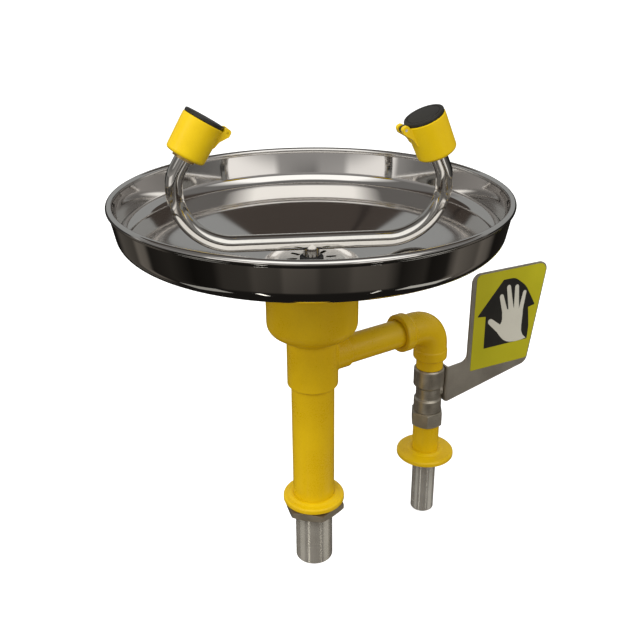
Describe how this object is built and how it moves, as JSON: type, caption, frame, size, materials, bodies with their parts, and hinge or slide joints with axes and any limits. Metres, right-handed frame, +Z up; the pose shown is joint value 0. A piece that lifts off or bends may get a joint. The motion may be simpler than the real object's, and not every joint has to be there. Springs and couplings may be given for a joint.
{
  "type": "deck-mounted eye and face wash",
  "caption": "Round stainless bowl on a yellow drain stand with a bent tube yoke, spray heads under flip covers, and a push-flag ball valve on a side supply branch.",
  "frame": {"origin": "centre of the drain flange where its underside sits on the deck", "axes": "+Z up along the drain, +X from the drain towards the supply pipe"},
  "size_m": [0.3834, 0.292, 0.3904],
  "materials": {
    "yellow_coat": "gloss safety-yellow powder coat, slight orange peel",
    "yellow_plastic": "moulded yellow plastic",
    "black_plastic": "moulded black rubbery plastic",
    "polished_bowl": "polished stainless steel, faint spun lines",
    "chromed_tube": "polished tube",
    "valve_metal": "cast and turned stainless steel",
    "brushed_plate": "brushed stainless plate",
    "printed_panel": "printed vinyl panel",
    "steel": "turned steel",
    "rubber": "black rubber",
    "white_plastic": "white plastic",
    "brass_fitting": "turned brass"
  },
  "bodies": {
    "stand": {"bowl": "polished_bowl", "bowl_gasket": "rubber", "strainer": "polished_bowl", "drain_body": "yellow_coat", "drain_pipe": "yellow_coat", "drain_tailpiece": "steel", "drain_flange": "yellow_coat", "deck_lock_nut": "steel", "inlet_elbow": "brass_fitting", "riser": "chromed_tube", "riser_seal": "rubber", "yoke_tube": "chromed_tube", "left_head_adapter": "brass_fitting", "right_head_adapter": "brass_fitting", "left_head_seal": "rubber", "right_head_seal": "rubber", "left_flow_control": "white_plastic", "right_flow_control": "white_plastic", "left_head_body": "yellow_plastic", "right_head_body": "yellow_plastic", "left_filter_disc": "steel", "right_filter_disc": "steel", "left_spray_plate": "yellow_plastic", "right_spray_plate": "yellow_plastic", "left_hinge_pin": "steel", "right_hinge_pin": "steel", "branch_pipe": "yellow_coat", "supply_elbow": "yellow_coat", "upper_nipple": "yellow_coat", "valve_body": "valve_metal", "valve_end_cap": "valve_metal", "valve_seats": "white_plastic", "stem_packing": "white_plastic", "packing_nut": "valve_metal", "lower_nipple": "yellow_coat", "supply_flange": "yellow_coat", "supply_shank": "steel"},
    "left_flap": {"left_cover": "black_plastic"},
    "right_flap": {"right_cover": "black_plastic"},
    "flag": {"valve_ball": "steel", "valve_stem": "steel", "stem_washer": "steel", "stem_nut": "steel", "flag_plate": "brushed_plate", "flag_decal": "printed_panel"}
  },
  "joints": [
    {"name": "left_cover_hinge", "type": "hinge", "parent": "stand", "child": "left_flap", "pos_m": [-0.04834, 0.03599, 0.31185], "axis": [0.2334, 0.9724, 0], "range_deg": [0, 110]},
    {"name": "right_cover_hinge", "type": "hinge", "parent": "stand", "child": "right_flap", "pos_m": [0.05304, -0.03712, 0.31398], "axis": [-0.2334, -0.9724, 0], "range_deg": [0, 110]},
    {"name": "flag_push", "type": "hinge", "parent": "stand", "child": "flag", "pos_m": [0.1233, 0, 0.066], "axis": [-0.9925, 0.1219, 0], "range_deg": [0, 90]}
  ]
}
